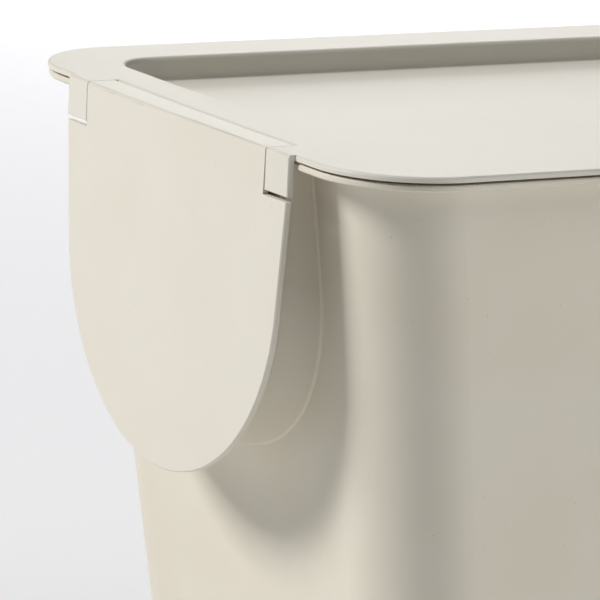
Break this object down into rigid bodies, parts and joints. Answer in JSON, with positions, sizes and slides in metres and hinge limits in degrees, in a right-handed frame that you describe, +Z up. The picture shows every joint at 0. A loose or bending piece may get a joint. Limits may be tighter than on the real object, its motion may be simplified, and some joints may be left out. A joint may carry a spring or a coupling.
{
  "type": "lidded storage bin",
  "caption": "Lidded storage bin in matte plastic with tapered walls, a flanged rim, a lift-off lid with a sunken top panel, and tongue-shaped flaps hinged on the lid's ends.",
  "frame": {"origin": "centre of the base, on the surface that the bin stands on", "axes": "+X along the bin's length towards the right-hand flap, +Y across its width towards the back, +Z up"},
  "size_m": [0.42, 0.26, 0.28],
  "materials": {
    "body_plastic": "fine matte moulded, with sparse dark recycled specks",
    "lid_plastic": "fine matte moulded, with sparse dark recycled specks",
    "flap_plastic": "fine matte moulded, with sparse dark recycled specks"
  },
  "bodies": {
    "bin": {"bin_body": "body_plastic"},
    "lid": {"lid": "lid_plastic"},
    "flap_left": {"end_flap_left": "flap_plastic"},
    "flap_right": {"end_flap_right": "flap_plastic"}
  },
  "joints": [
    {"name": "lid_lift", "type": "slide", "parent": "bin", "child": "lid", "axis": [0, 0, 1], "range_m": [0, 0.16]},
    {"name": "flap_left_hinge", "type": "hinge", "parent": "lid", "child": "flap_left", "pos_m": [-0.2057, 0, 0.2776], "axis": [0, 1, 0], "range_deg": [0, 100]},
    {"name": "flap_right_hinge", "type": "hinge", "parent": "lid", "child": "flap_right", "pos_m": [0.2057, 0, 0.2776], "axis": [0, -1, 0], "range_deg": [0, 100]}
  ]
}
